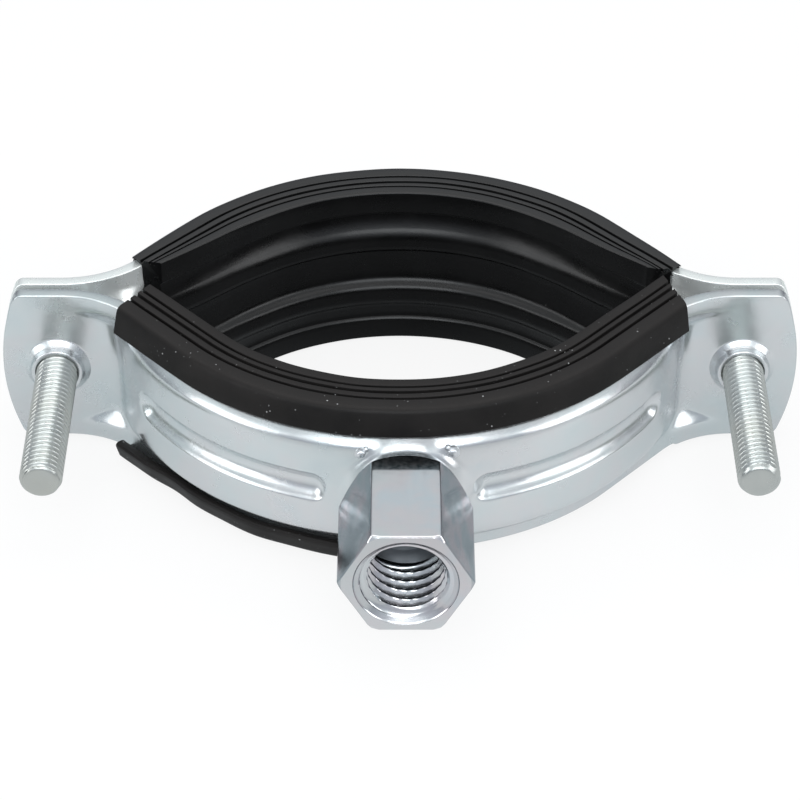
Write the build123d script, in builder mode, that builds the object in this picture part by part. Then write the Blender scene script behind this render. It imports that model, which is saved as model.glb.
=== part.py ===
from build123d import *

import os
from math import acos, cos, degrees, radians, sin, sqrt

# A two-part pipe clamp: two pressed steel half straps with a rubber liner snapped over
# each, two clamping screws through the ears, and a threaded connection nut welded to
# the front half. Millimetres. The pipe runs along Z, the ears lie along X, and the nut
# and the screw tips point along -Y. The origin is the middle of the pipe opening.

# ---- driving dimensions -------------------------------------------------------------
# strip of each half strap, seen at the ears
strip_width = 20.0
steel = 1.5
ear_gap = 0.9
ear_end_radius = 26.6
ear_corner_radius = 0.8

# ring of each half strap: its centre lies ring_offset beyond the ear plane; the
# stepped-in edges leave the ring at edge_ring_angle and run straight to their bends
ring_offset = 8.0
band_radius = 34.4
edge_step = 2.1
edge_step_height = 1.6
edge_flange = 2.1
edge_trim = 0.4
band_bend_radius = 2.0
edge_bend_radius = 11.2
edge_ring_angle = 48.0

# stiffening grooves pressed into the band, one each side of the nut
groove_width = 3.6
groove_depth = 1.2
groove_clear_of_seat = 1.65
groove_far_angle = 58.0

# clamping screws
screw_from_bend = 5.8175
screw_to_ear_end = 6.4
thread_radius = 2.42
thread_clearance = 0.08
screw_reach = 24.1
screw_tip_chamfer = 0.5
head_across_flats = 8.0
head_height = 3.2
flange_radius = 5.2
flange_thickness = 0.8
head_clearance = 0.05
cross_width = 1.2
cross_span = 4.2
cross_depth = 1.8
ear_hole_radius = 2.75

# drawn collar that holds the screw thread in each front ear
collar_root_radius = 3.83
collar_rim_radius = 3.0
collar_height = 1.4
collar_flare = 0.15
hole_edge_break = 0.3

# connection nut and the flat seat raised for it
nut_across_flats = 13.0
nut_length = 14.9
nut_offset = 0.65
nut_face_radius = 6.55
nut_face_chamfer = 0.5
nut_root_radius = 6.0
nut_root_chamfer = 1.76
seat_radius = 7.8
seat_height = 0.5
seat_backing = 2.9
mouth_radius = 5.6
mouth_chamfer = 0.5
large_thread_radius = 5.05
large_thread_depth = 8.6
relief_radius = 5.25
relief_length = 1.4
shoulder_chamfer = 0.6
small_thread_radius = 4.05

# rubber liner section: a pad inside the steel, with a lip snapped round each edge
rubber_fit = 0.03
web_thickness = 1.12
pad_thickness = 3.7
land_height = 2.85
land_step = 0.2
recess_depth = 0.55
rib_height = 0.64
rib_crest_top = 4.4
rib_crest_bottom = 3.0
rib_foot_height = 2.3
rib_foot_depth = 0.2
hollow_half_height = 2.1
hollow_side_depth = 0.45
hollow_depth = 0.7
inner_groove_place = 1.35
inner_groove_width = 0.35
middle_groove_place = 2.25
middle_groove_width = 0.5
outer_groove_place = 3.5
outer_groove_width = 0.4
edge_groove_depth = 0.45
lip_corner_spread = 0.65
lip_tip_spread = 1.6
lip_hook = 0.5
lip_inner_spread = 0.7
lip_inner_hook = 0.4
lip_round = 0.8

# the front liner's lower edge: its lip has sprung loose left of the nut and is
# tucked inside the steel right of it
loose_corner_spread = 0.9
loose_corner_drop = 0.25
loose_tip_spread = 1.75
loose_tip_rise = 0.25
loose_lip_gap = 0.45
tucked_drop = 0.1
tucked_corner = 0.5

# how far each liner end runs along the straight, at its land and out at its lip
front_left_end = (13.1, 11.7)
front_right_end = (15.6, 12.2)
back_left_end = (8.9, 12.0)
back_right_end = (11.6, 14.4)
liner_end_clearance = 0.35
liner_end_spare = 3.0
front_left_limit = 0.1

# ---- derived places -----------------------------------------------------------------
ear_front = -(ear_gap / 2 + steel)
ear_back = -ear_gap / 2
edge_radius = band_radius - edge_step
edge_height = strip_width / 2 - edge_flange
band_half_height = edge_height - edge_step_height
edge_half_height = strip_width / 2 - edge_trim
band_front = ring_offset - band_radius
seat_face = band_front - seat_height
ear_thread_radius = thread_radius + thread_clearance
groove_tube = ((groove_width / 2) ** 2 + groove_depth**2) / (2 * groove_depth)
groove_centre_radius = band_radius - groove_depth + groove_tube
groove_near_angle = degrees((seat_radius + groove_clear_of_seat + nut_offset) / band_radius)
groove_spans = ((groove_near_angle, groove_far_angle), (-groove_far_angle, -groove_near_angle))
steel_inside = edge_radius - steel
land_radius = steel_inside - pad_thickness
liner_half_height = edge_half_height + rubber_fit + web_thickness
ring_axis = Axis((0, ring_offset, 0), (0, 0, 1))


def ring_turn(outer_radius, bend_radius):
    """Angle at which a ring of this radius meets its bend when nothing lies between."""
    drop = ring_offset - ear_front + bend_radius
    return degrees(acos(drop / (outer_radius + bend_radius)))


def straight_run(outer_radius, bend_radius, leave):
    """Length of the straight from where the ring is left to the start of the bend."""
    rise = (outer_radius + bend_radius) * cos(radians(leave)) - (ring_offset - ear_front + bend_radius)
    return rise / sin(radians(leave))


def bend_centre(outer_radius, bend_radius, leave):
    """Centre of the bend onto the ear's front face, the ring left straight at this angle."""
    run = straight_run(outer_radius, bend_radius, leave)
    x = (outer_radius + bend_radius) * sin(radians(leave)) + run * cos(radians(leave))
    return x, ear_front - bend_radius


def along_edge(radius, run):
    """Point on the right-hand straight, this far out from the ring axis and along the run."""
    a = radians(edge_ring_angle)
    return radius * sin(a) + run * cos(a), ring_offset - radius * cos(a) + run * sin(a)


def edge_end(ends):
    """How far out along X a liner with these ends covers the strip's edge."""
    share = (edge_radius - land_radius) / (lip_radius - land_radius)
    return along_edge(edge_radius, ends[0] + share * (ends[1] - ends[0]))[0]


band_turn = ring_turn(band_radius, band_bend_radius)
screw_x = bend_centre(band_radius, band_bend_radius, band_turn)[0] + screw_from_bend
ear_reach = screw_x + screw_to_ear_end
edge_run = straight_run(edge_radius, edge_bend_radius, edge_ring_angle)
lip_radius = edge_radius + lip_tip_spread
front_right_y = along_edge(land_radius, front_right_end[0])[1]


def strap_face(outer_radius, bend_radius, leave, height):
    """Plan of the bent strip at one height, its outline drawn from the right-hand half."""
    bend_x, bend_y = bend_centre(outer_radius, bend_radius, leave)
    inner_radius = outer_radius - steel
    ear_end = ear_reach + steel
    half = [
        CenterArc((0, ring_offset), outer_radius, -90, edge_ring_angle),
        CenterArc((bend_x, bend_y), bend_radius, 90 + leave, -leave),
        Line((bend_x, ear_front), (ear_end, ear_front)),
        Line((ear_end, ear_front), (ear_end, ear_back)),
        Line((ear_end, ear_back), (bend_x, ear_back)),
        CenterArc((bend_x, bend_y), bend_radius + steel, 90, leave),
        CenterArc((0, ring_offset), inner_radius, -90, edge_ring_angle),
    ]
    for radius in (outer_radius, inner_radius):
        if leave > edge_ring_angle:
            half.append(CenterArc((0, ring_offset), radius, edge_ring_angle - 90, leave - edge_ring_angle))
        else:
            half.append(Line(along_edge(radius, 0), along_edge(radius, edge_run)))
    outline = Wire(half + [edge.mirror(Plane.YZ) for edge in half])
    return Face(outline).moved(Location((0, 0, height)))


def ear_silhouette():
    """The strip seen along Y: its width, with a shallow round at the end of each ear."""
    half = strip_width / 2
    corner_x = ear_reach - ear_end_radius + sqrt(ear_end_radius**2 - half**2)
    with BuildLine() as edge:
        Line((-corner_x, half), (corner_x, half))
        ThreePointArc((corner_x, half), (ear_reach, 0), (corner_x, -half))
        Line((corner_x, -half), (-corner_x, -half))
        ThreePointArc((-corner_x, -half), (-ear_reach, 0), (-corner_x, half))
    face = make_face(edge.line.edges())
    fillet(face.vertices(), ear_corner_radius)


def radial_plane(angle):
    """Plane through the ring axis, X outward, at this angle from the middle of the half."""
    a = radians(angle)
    return Plane(origin=(0, ring_offset, 0), x_dir=(sin(a), -cos(a), 0), z_dir=(-cos(a), -sin(a), 0))


def groove_tool(start, stop, tube_radius, reach):
    """Round-bottomed groove along the ring from start to stop, with rounded ends."""
    with BuildPart() as tool:
        with BuildSketch(radial_plane(start)):
            with Locations((groove_centre_radius, 0)):
                Circle(tube_radius)
        revolve(axis=ring_axis, revolution_arc=stop - start)
        for angle in (start, stop):
            with Locations(radial_plane(angle)):
                with Locations((groove_centre_radius, 0, 0)):
                    Sphere(tube_radius)
        with BuildSketch(Plane.XY.offset(-2 * tube_radius)):
            with Locations((0, ring_offset)):
                Circle(reach)
        extrude(amount=4 * tube_radius, mode=Mode.INTERSECT)
    return tool.part


def bent_strip(trim_left, trim_right):
    """The joggled strip: band, stepped-in edges and ears, built up from its upper half."""
    band_face = strap_face(band_radius, band_bend_radius, band_turn, 0)
    step_start = band_face.moved(Location((0, 0, band_half_height)))
    step_end = strap_face(edge_radius, edge_bend_radius, edge_ring_angle, edge_height)
    with BuildPart() as strip:
        extrude(band_face, amount=band_half_height)
        loft([step_start, step_end], ruled=True)
        extrude(step_end, amount=strip_width / 2 - edge_height)
        with BuildSketch(Plane.XY.offset(edge_half_height)):
            with Locations(((trim_right - trim_left) / 2, -band_radius)):
                Rectangle(trim_left + trim_right, 2 * band_radius)
        extrude(amount=strip_width, mode=Mode.SUBTRACT)
        mirror(about=Plane.XY)
        with BuildSketch(Plane.XZ.offset(2 * band_radius)):
            ear_silhouette()
        extrude(amount=-4 * band_radius, mode=Mode.INTERSECT)
        for near, far in groove_spans:
            add(groove_tool(near, far, groove_tube + steel, band_radius - steel / 2))
        for near, far in groove_spans:
            add(groove_tool(near, far, groove_tube, 2 * band_radius), mode=Mode.SUBTRACT)
    return strip.part


def edge_groove(place, width, top):
    """Corners of one shallow groove in the liner's edge face, place measured from the land."""
    start = land_radius + place
    stop = start + width
    floor = top - edge_groove_depth
    return [(start, top), (start, floor), (stop, floor), (stop, top)]


def liner_edge(side, style):
    """Outline of one edge of the liner, from its inner land round to the pad's back."""
    back = steel_inside - rubber_fit
    web = edge_half_height + rubber_fit
    top = liner_half_height
    if style == "tucked":
        top = liner_half_height - tucked_drop
    points = [(land_radius, top)]
    points += edge_groove(inner_groove_place, inner_groove_width, top)
    points += edge_groove(middle_groove_place, middle_groove_width, top)
    if style == "tucked":
        points += [(back - tucked_corner, top), (back, top - tucked_corner)]
        return [(r, side * z) for r, z in points]
    points += edge_groove(outer_groove_place, outer_groove_width, top)
    if style == "loose":
        points += [
            (edge_radius + loose_corner_spread, top - loose_corner_drop),
            (edge_radius + loose_tip_spread, edge_height),
            (edge_radius + loose_lip_gap, edge_height + loose_tip_rise),
            (edge_radius + loose_lip_gap, web),
        ]
    else:
        points += [
            (edge_radius + lip_corner_spread, top),
            (edge_radius + lip_tip_spread, edge_height - lip_hook),
            (edge_radius + lip_inner_spread, edge_height - lip_inner_hook),
            (edge_radius + rubber_fit, edge_height + rubber_fit),
            (edge_radius + rubber_fit, web),
        ]
    points.append((back, web))
    return [(r, side * z) for r, z in points]


def liner_face(side):
    """Outline of one half of the liner's inner face, from its land to its hollow."""
    land_end = liner_half_height - land_height
    points = [(land_radius, land_end), (land_radius + recess_depth, land_end - land_step)]
    points += [(land_radius - rib_height, rib_crest_top), (land_radius - rib_height, rib_crest_bottom)]
    points += [(land_radius + rib_foot_depth, rib_foot_height)]
    points += [(land_radius + hollow_side_depth, hollow_half_height)]
    return [(r, side * z) for r, z in points]


def liner_section(lower_style):
    """Section of a liner in a plane through the ring axis, upper lip always snapped on."""
    upper_edge = liner_edge(1, "snapped")
    lower_edge = liner_edge(-1, lower_style)
    upper_face = liner_face(1)
    lower_face = liner_face(-1)
    with BuildLine() as outline:
        Polyline(*reversed(upper_face), *upper_edge, *reversed(lower_edge), *lower_face)
        ThreePointArc(lower_face[-1], (land_radius + hollow_depth, 0), upper_face[-1])
    face = make_face(outline.line.edges())
    lip_corners = [v for v in face.vertices() if abs(v.Y) > edge_half_height + web_thickness / 2]
    fillet([v for v in lip_corners if v.X > edge_radius], lip_round)


def end_cut(side, ends):
    """Half plane past one end of a liner of the front half, on a line through its ends."""
    land = Vector(*along_edge(land_radius, ends[0]))
    lip = Vector(*along_edge(lip_radius, ends[1]))
    cut = (lip - land).normalized() * band_radius
    past = Vector(*along_edge(0, strip_width)) - Vector(*along_edge(0, 0))
    corners = [land - cut, lip + cut, lip + cut + past, land - cut + past]
    with BuildLine() as outline:
        Polyline(*[(side * corner.X, corner.Y) for corner in corners], close=True)
    make_face(outline.line.edges())


def liner(left_end, right_end, left_style, right_style):
    """A liner swept round the ring and straight on at each end, then cut to its ends."""
    with BuildPart() as sweep:
        for side, style, ends in ((-1, left_style, left_end), (1, right_style, right_end)):
            leave = radial_plane(side * edge_ring_angle)
            with BuildSketch(radial_plane(min(side * edge_ring_angle, 0))):
                liner_section(style)
            revolve(axis=ring_axis, revolution_arc=edge_ring_angle)
            with BuildSketch(leave):
                liner_section(style)
            extrude(amount=-side * (max(ends) + liner_end_spare))
        for side, ends in ((-1, left_end), (1, right_end)):
            with BuildSketch(Plane.XY.offset(-strip_width)):
                end_cut(side, ends)
            extrude(amount=2 * strip_width, mode=Mode.SUBTRACT)
    return sweep.part


front_strip = bent_strip(edge_end(front_left_end), edge_end(front_right_end))
back_strip = mirror(bent_strip(edge_end(back_left_end), edge_end(back_right_end)), about=Plane.XZ)
front_sweep = liner(front_left_end, front_right_end, "loose", "tucked")
back_sweep = mirror(liner(back_left_end, back_right_end, "snapped", "snapped"), about=Plane.XZ)

with BuildPart() as front_strap:
    add(front_strip)
    # flat seat raised for the nut
    with BuildSketch(Plane.XZ.offset(-seat_face)):
        with Locations((nut_offset, 0)):
            Circle(seat_radius)
    extrude(amount=-seat_height - seat_backing)
    # drawn collars and their threaded holes
    for x in (-screw_x, screw_x):
        rim = ear_front - collar_height
        flare = ((collar_root_radius + collar_rim_radius) / 2 - collar_flare, (ear_front + rim) / 2)
        with BuildSketch():
            with BuildLine():
                Line((x, ear_front), (x + collar_root_radius, ear_front))
                ThreePointArc(
                    (x + collar_root_radius, ear_front),
                    (x + flare[0], flare[1]),
                    (x + collar_rim_radius, rim),
                )
                Line((x + collar_rim_radius, rim), (x, rim))
                Line((x, rim), (x, ear_front))
            make_face()
        revolve(axis=Axis((x, 0, 0), (0, 1, 0)))
        with BuildSketch(Plane.XZ):
            with Locations((x, 0)):
                Circle(ear_thread_radius)
        extrude(amount=strip_width, mode=Mode.SUBTRACT)
        with BuildSketch(Plane.XZ.offset(-ear_back)):
            with Locations((x, 0)):
                Circle(ear_thread_radius + hole_edge_break)
        extrude(amount=hole_edge_break, taper=45, mode=Mode.SUBTRACT)
front_strap.part.label = "front_strap"

with BuildPart() as back_strap:
    add(back_strip)
    with BuildSketch(Plane.XZ):
        with Locations((-screw_x, 0), (screw_x, 0)):
            Circle(ear_hole_radius)
    extrude(amount=-strip_width, mode=Mode.SUBTRACT)
back_strap.part.label = "back_strap"

with BuildPart() as front_liner:
    add(front_sweep)
    add(front_strip, mode=Mode.SUBTRACT)
    # no rib stands past the other liner's reach
    with BuildSketch(Plane.XY.offset(-strip_width)):
        with Locations((-band_radius / 2, front_left_limit + band_radius / 2)):
            Rectangle(band_radius, band_radius)
        with Locations((band_radius / 2, front_right_y + band_radius / 2)):
            Rectangle(band_radius, band_radius)
    extrude(amount=2 * strip_width, mode=Mode.SUBTRACT)
front_liner.part.label = "front_liner"

with BuildPart() as back_liner:
    add(back_sweep)
    add(back_strip, mode=Mode.SUBTRACT)
    # both ends stop clear of the front liner
    with BuildSketch(Plane.XY.offset(-strip_width)):
        with Locations((-band_radius / 2, front_left_limit + liner_end_clearance - band_radius / 2)):
            Rectangle(band_radius, band_radius)
        with Locations((band_radius / 2, front_right_y + liner_end_clearance - band_radius / 2)):
            Rectangle(band_radius, band_radius)
    extrude(amount=2 * strip_width, mode=Mode.SUBTRACT)
back_liner.part.label = "back_liner"

with BuildPart() as connection_nut:
    with BuildSketch(Plane.XZ.offset(-seat_face)):
        with Locations((nut_offset, 0)):
            RegularPolygon(nut_across_flats / 2, 6, major_radius=False)
    extrude(amount=nut_length)
    corner_radius = nut_across_flats / sqrt(3)
    with BuildSketch():
        with BuildLine():
            Polyline(
                (nut_offset, seat_face),
                (nut_offset + nut_root_radius, seat_face),
                (nut_offset + corner_radius, seat_face - nut_root_chamfer),
                (nut_offset + corner_radius, seat_face - nut_length + nut_face_chamfer),
                (nut_offset + nut_face_radius, seat_face - nut_length),
                (nut_offset, seat_face - nut_length),
                close=True,
            )
        make_face()
    revolve(axis=Axis((nut_offset, 0, 0), (0, 1, 0)), mode=Mode.INTERSECT)
    # stepped threaded bore, blind at the seat
    mouth = seat_face - nut_length
    thread_end = mouth + large_thread_depth
    with BuildSketch():
        with BuildLine():
            Polyline(
                (nut_offset, mouth),
                (nut_offset + mouth_radius, mouth),
                (nut_offset + large_thread_radius, mouth + mouth_chamfer),
                (nut_offset + large_thread_radius, thread_end),
                (nut_offset + relief_radius, thread_end + relief_radius - large_thread_radius),
                (nut_offset + relief_radius, thread_end + relief_length),
                (nut_offset + small_thread_radius, thread_end + relief_length + shoulder_chamfer),
                (nut_offset + small_thread_radius, seat_face),
                (nut_offset, seat_face),
                close=True,
            )
        make_face()
    revolve(axis=Axis((nut_offset, 0, 0), (0, 1, 0)), mode=Mode.SUBTRACT)
connection_nut.part.label = "connection_nut"


def clamp_screw(x):
    """A clamping screw along Y at this X: flanged hexagon head behind, tip in front."""
    flange_face = -ear_front + head_clearance
    head_base = flange_face + flange_thickness
    head_top = head_base + head_height
    with BuildPart() as screw:
        with BuildSketch(Plane.XZ.offset(screw_reach)):
            with Locations((x, 0)):
                Circle(thread_radius)
        extrude(amount=-screw_reach - flange_face)
        chamfer(screw.edges().group_by(Axis.Y)[0], screw_tip_chamfer)
        with BuildSketch(Plane.XZ.offset(-flange_face)):
            with Locations((x, 0)):
                Circle(flange_radius)
        extrude(amount=-flange_thickness)
        with BuildSketch(Plane.XZ.offset(-head_base)):
            with Locations((x, 0)):
                RegularPolygon(head_across_flats / 2, 6, major_radius=False)
        extrude(amount=-head_height)
        with BuildSketch(Plane.XZ.offset(-head_top)):
            with Locations((x, 0)):
                Rectangle(cross_span, cross_width)
                Rectangle(cross_width, cross_span)
        extrude(amount=cross_depth, mode=Mode.SUBTRACT)
    return screw.part


left_screw = clamp_screw(-screw_x)
left_screw.label = "left_screw"
right_screw = clamp_screw(screw_x)
right_screw.label = "right_screw"

os.makedirs("parts", exist_ok=True)
export_step(front_strap.part, "parts/front_strap.step")
export_step(back_strap.part, "parts/back_strap.step")
export_step(front_liner.part, "parts/front_liner.step")
export_step(back_liner.part, "parts/back_liner.step")
export_step(connection_nut.part, "parts/connection_nut.step")
export_step(left_screw, "parts/left_screw.step")
export_step(right_screw, "parts/right_screw.step")
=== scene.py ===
import math

import bpy
import numpy as np
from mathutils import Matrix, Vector
from mathutils.geometry import tessellate_polygon


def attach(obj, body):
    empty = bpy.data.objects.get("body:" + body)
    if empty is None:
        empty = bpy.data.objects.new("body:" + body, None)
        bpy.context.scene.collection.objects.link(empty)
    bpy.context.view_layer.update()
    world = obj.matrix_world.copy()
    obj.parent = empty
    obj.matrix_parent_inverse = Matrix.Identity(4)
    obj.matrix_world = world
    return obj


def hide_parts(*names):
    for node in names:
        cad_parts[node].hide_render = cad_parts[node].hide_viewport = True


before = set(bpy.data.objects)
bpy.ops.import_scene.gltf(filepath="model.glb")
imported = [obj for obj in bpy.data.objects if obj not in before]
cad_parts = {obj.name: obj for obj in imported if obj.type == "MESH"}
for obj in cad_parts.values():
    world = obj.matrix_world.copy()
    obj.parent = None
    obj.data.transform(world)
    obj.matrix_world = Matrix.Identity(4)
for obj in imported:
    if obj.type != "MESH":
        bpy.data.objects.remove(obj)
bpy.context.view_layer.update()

MM = 0.001
SHARP_DEGREES = 40.0

# ---- sizes shared with the CAD model, in millimetres --------------------------------
STEEL = 1.5  # thickness of the strip
STRIP_HALF = 10.0  # half its width, along Z
EAR_FRONT = -1.95  # outer face of the front ears
EAR_REACH, EAR_END_R, EAR_CORNER = 46.6, 26.6, 0.8
RING_Y = 8.0  # centre of the front half's ring
BAND_R, EDGE_R = 34.4, 32.3  # outer faces of the band and of its stepped-in edges
BAND_BEND, EDGE_BEND = 2.0, 11.2  # bends from the band and from the edges into the ear
JOGGLE = (6.3, 7.9)  # heights between which an edge steps in
EDGE_LEAVE = math.radians(48.0)  # ring angle at which the edges run off straight
EDGE_TRIM = 0.4  # by which the edges stand lower around the ring
SCREW_X, THREAD_R = 40.2, 2.42
EAR_HOLE_R, COLLAR_HEIGHT = 2.75, 1.4
SEAT_Y = -26.9  # face of the seat, on which the nut stands
NUT_X, NUT_LENGTH = 0.65, 14.9
LAND_R, LIP_R, PAD_BACK = 27.1, 33.9, 30.77  # the liner's radii
LINER_TOP = 10.75  # half the liner's height


# ---- mesh helpers -------------------------------------------------------------------
def smooth_ramp(x, k):
    """0 below zero and x above it, with the corner rounded over about k."""
    return 0.5 * (x + np.sqrt(x * x + k * k))


def soft_min(a, b, k):
    """The lesser of two, with the corner between them rounded over about k."""
    return -k * np.logaddexp(-a / k, -b / k)


def soft_step(x):
    x = np.clip(x, 0, 1)
    return x * x * (3 - 2 * x)


def value_noise(seed, x, y=0.0, z=0.0):
    """Smooth repeatable noise in about -1 to 1, for numpy arrays."""
    x, y, z = np.broadcast_arrays(np.asarray(x, float), y, z)

    def corner(i, j, k):
        n = (i * 374761393 + j * 668265263 + k * 2147483647 + seed * 974634777) & 0xFFFFFFFF
        n = ((n ^ (n >> 13)) * 1274126177) & 0xFFFFFFFF
        return ((n ^ (n >> 16)) & 0xFFFF) / 32767.5 - 1.0

    xi, yi, zi = (np.floor(v).astype(np.int64) for v in (x, y, z))
    fx, fy, fz = x - xi, y - yi, z - zi
    fx, fy, fz = (f * f * (3 - 2 * f) for f in (fx, fy, fz))
    total = 0.0
    for dx in (0, 1):
        for dy in (0, 1):
            for dz in (0, 1):
                w = (fx if dx else 1 - fx) * (fy if dy else 1 - fy) * (fz if dz else 1 - fz)
                total = total + w * corner(xi + dx, yi + dy, zi + dz)
    return total


def build_mesh(name, parts, sharp_degrees=SHARP_DEGREES):
    """One object from (vertices in mm, faces) parts."""
    verts, faces, base = [], [], 0
    for v, f in parts:
        v = np.asarray(v, float).reshape(-1, 3)
        verts.append(v)
        faces += [tuple(int(i) + base for i in face) for face in f]
        base += len(v)
    mesh = bpy.data.meshes.new(name)
    mesh.from_pydata((np.concatenate(verts) * MM).tolist(), [], faces)
    mesh.validate(verbose=False)
    obj = bpy.data.objects.new(name, mesh)
    bpy.context.scene.collection.objects.link(obj)
    finish_shading(obj, sharp_degrees)
    return obj


def finish_shading(obj, sharp_degrees=SHARP_DEGREES):
    mesh = obj.data
    mesh.polygons.foreach_set("use_smooth", [True] * len(mesh.polygons))
    mesh.set_sharp_from_angle(angle=math.radians(sharp_degrees))


def tube_faces(stations, loop, closed_path=False):
    """Quads of a sweep: points indexed station * loop + place, the loop closed."""
    faces = []
    last = stations if closed_path else stations - 1
    for i in range(last):
        a, b = i * loop, ((i + 1) % stations) * loop
        for j in range(loop):
            k = (j + 1) % loop
            faces.append((a + j, a + k, b + k, b + j))
    return faces


def cap_faces(points2d, offset, flip):
    """Triangles that close a loop of points whose first index is offset."""
    tris = tessellate_polygon([[Vector((p[0], p[1], 0)) for p in points2d]])
    return [tuple(offset + i for i in (t[::-1] if flip else t)) for t in tris]


def lathe(profile, centre, segments):
    """Closed ring of revolution about an axis along Y. profile is [(radius, y)], closed."""
    r, y = np.asarray(profile, float).T
    a = np.linspace(0, 2 * np.pi, segments, endpoint=False)[:, None]
    x = centre[0] + r * np.cos(a)
    z = centre[1] + r * np.sin(a)
    y = np.broadcast_to(y, x.shape)
    return np.stack([x, y, z], -1).reshape(-1, 3), tube_faces(segments, len(profile), True)


def rounded_polygon(points, segments=3, closed=False):
    """Polyline through (x, y, radius) points, its corners rounded."""
    out = []
    n = len(points)
    for i, (x, y, r) in enumerate(points):
        p = np.array([x, y])
        if r <= 0 or (not closed and i in (0, n - 1)):
            out.append(p)
            continue
        a = np.array(points[i - 1][:2]) - p
        b = np.array(points[(i + 1) % n][:2]) - p
        la, lb = np.linalg.norm(a), np.linalg.norm(b)
        a, b = a / la, b / lb
        half = math.acos(max(-1, min(1, a @ b))) / 2
        if half > math.radians(88):
            out.append(p)
            continue
        cut = min(r / math.tan(half), 0.45 * la, 0.45 * lb)
        radius = cut * math.tan(half)
        centre = p + (a + b) / np.linalg.norm(a + b) * radius / math.sin(half)
        s, e = p + a * cut - centre, p + b * cut - centre
        a0, a1 = math.atan2(s[1], s[0]), math.atan2(e[1], e[0])
        turn = (a1 - a0 + math.pi) % (2 * math.pi) - math.pi
        for a in a0 + turn * np.linspace(0, 1, segments + 1):
            out.append(centre + radius * np.array([math.cos(a), math.sin(a)]))
    return np.array(out)


def resample(points, count):
    """A polyline's points spread again, evenly along its length."""
    d = np.concatenate([[0], np.cumsum(np.linalg.norm(np.diff(points, axis=0), axis=1))])
    t = np.linspace(0, d[-1], count)
    return np.stack([np.interp(t, d, points[:, 0]), np.interp(t, d, points[:, 1])], -1)


# ---- pressed half strap -------------------------------------------------------------
GROOVE_HALF, GROOVE_DEPTH = 1.8, 1.2
GROOVE_TUBE = (GROOVE_HALF**2 + GROOVE_DEPTH**2) / (2 * GROOVE_DEPTH)
GROOVE_R = BAND_R - GROOVE_DEPTH + GROOVE_TUBE
GROOVE_SPAN = (math.radians(16.8), math.radians(58.0))
GROOVE_FADE = 5.5  # half height of the strip within which the groove is worked out
END_BREAK = 0.22  # rounding of the ears' ends
FRONT_TRIM, BACK_TRIM = (32.05, 32.70), (30.9, 32.4)  # where the trim ends, left and right
SEAT_R, SEAT_SLOPE = 6.5, 1.4  # flat of the seat, and its fall per mm beyond
COLLAR_BORE_R = THREAD_R + 0.06


def strip_loop(faces=78, rounds=4, outer=0.17, inner=0.12):
    """Cross-section of the strip: (place across -1 to 1, inset from the edge, depth, outer face)."""
    across = np.linspace(-1, 1, faces)
    turn = np.linspace(0, math.pi / 2, rounds + 1)
    loop = [(v, outer, 0.0, 1) for v in across]
    loop += [(1, outer * (1 - math.sin(a)), outer * (1 - math.cos(a)), 1) for a in turn[1:]]
    loop += [(1, inner * (1 - math.cos(a)), STEEL - inner * (1 - math.sin(a)), 0) for a in turn]
    loop += [(v, inner, STEEL, 0) for v in across[::-1]]
    loop += [(-1, inner * (1 - math.cos(a)), STEEL - inner * (1 - math.sin(a)), 0) for a in turn[::-1]]
    loop += [(-1, outer * (1 - math.sin(a)), outer * (1 - math.cos(a)), 1) for a in turn[::-1][:-1]]
    return np.array(loop)


def groove_press(dist, outer):
    """Depth to which the groove presses a line of the strip, dist from the groove's middle."""
    tube = GROOVE_TUBE + np.where(outer, 0, STEEL)
    level = GROOVE_R - BAND_R + np.where(outer, 0, STEEL)
    cut = np.sqrt(np.maximum(tube**2 - dist**2, 0)) - level
    cut = np.where(dist < tube, cut, -level - 2 * (dist - tube))
    return smooth_ramp(cut, 0.3)


def path_point(piece, t, d, radius, bend, leave):
    """Plan point of one line of the strip, d inside its outer face, and its ring angle."""
    yc = EAR_FRONT - bend
    rise = (radius + bend) * math.cos(leave) - (RING_Y - yc)
    run = rise / math.sin(leave)
    xc = (radius + bend) * math.sin(leave) + run * math.cos(leave)
    if piece == "ear":
        return xc + 0 * d, EAR_FRONT + d, math.pi / 2
    if piece == "bend":
        a = leave * t
        return xc - (bend + d) * math.sin(a), yc + (bend + d) * math.cos(a), math.pi / 2
    if piece == "straight" and leave <= EDGE_LEAVE:
        s = run * (1 - t)
        x = (radius - d) * math.sin(leave) + s * math.cos(leave)
        return x, RING_Y - (radius - d) * math.cos(leave) + s * math.sin(leave), math.pi / 2
    if piece == "straight":
        a = leave + (EDGE_LEAVE - leave) * t
    else:
        a = EDGE_LEAVE * (1 - t)
    return (radius - d) * math.sin(a), RING_Y - (radius - d) * math.cos(a), a


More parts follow.
